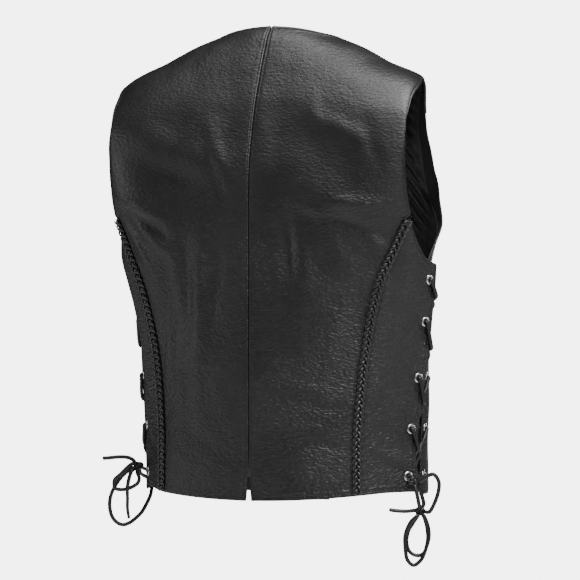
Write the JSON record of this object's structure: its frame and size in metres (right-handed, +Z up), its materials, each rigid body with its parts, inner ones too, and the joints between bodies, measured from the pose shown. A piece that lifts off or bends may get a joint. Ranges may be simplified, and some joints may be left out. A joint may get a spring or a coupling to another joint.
{
  "type": "leather vest",
  "caption": "Black leather vest in its worn form, with V neck, plaited seams, laced sides, back vent and snap front.",
  "frame": {"origin": "between the middles of the two shoulder seams, where the wearer's shoulders hold the vest", "axes": "+Z up along the wearer, +Y to the back, +X to the wearer's left"},
  "size_m": [0.4881, 0.2537, 0.7336],
  "materials": {
    "leather": "grained black, soft sheen",
    "braid": "smooth black plait",
    "lining": "black satin",
    "metal": "nickel plated",
    "lace": "flat black thong"
  },
  "bodies": {
    "root": {"back_left": "leather", "back_right": "leather", "bow_back_right": "lace", "bow_front_right": "lace", "bow_large_left": "lace", "bow_side_right": "lace", "bow_small_left": "lace", "braid_left": "braid", "braid_right": "braid", "end_down_left": "lace", "end_side_left": "lace", "end_side_right": "lace", "eyelet_back_left_1": "metal", "eyelet_back_left_2": "metal", "eyelet_back_left_3": "metal", "eyelet_back_left_4": "metal", "eyelet_back_left_5": "metal", "eyelet_back_right_1": "metal", "eyelet_back_right_2": "metal", "eyelet_back_right_3": "metal", "eyelet_back_right_4": "metal", "eyelet_back_right_5": "metal", "eyelet_front_left_1": "metal", "eyelet_front_left_2": "metal", "eyelet_front_left_3": "metal", "eyelet_front_left_4": "metal", "eyelet_front_left_5": "metal", "eyelet_front_right_1": "metal", "eyelet_front_right_2": "metal", "eyelet_front_right_3": "metal", "eyelet_front_right_4": "metal", "eyelet_front_right_5": "metal", "front_left": "leather", "front_right": "leather", "knot_left": "lace", "knot_low_right": "lace", "knot_right": "lace", "lace_left": "lace", "lace_right": "lace", "lining_left": "lining", "lining_right": "lining", "side_back_left": "leather", "side_back_right": "leather", "snap_1": "metal", "snap_2": "metal", "snap_3": "metal", "snap_4": "metal", "tie_a_right": "lace", "tie_b_right": "lace"}
  },
  "joints": []
}
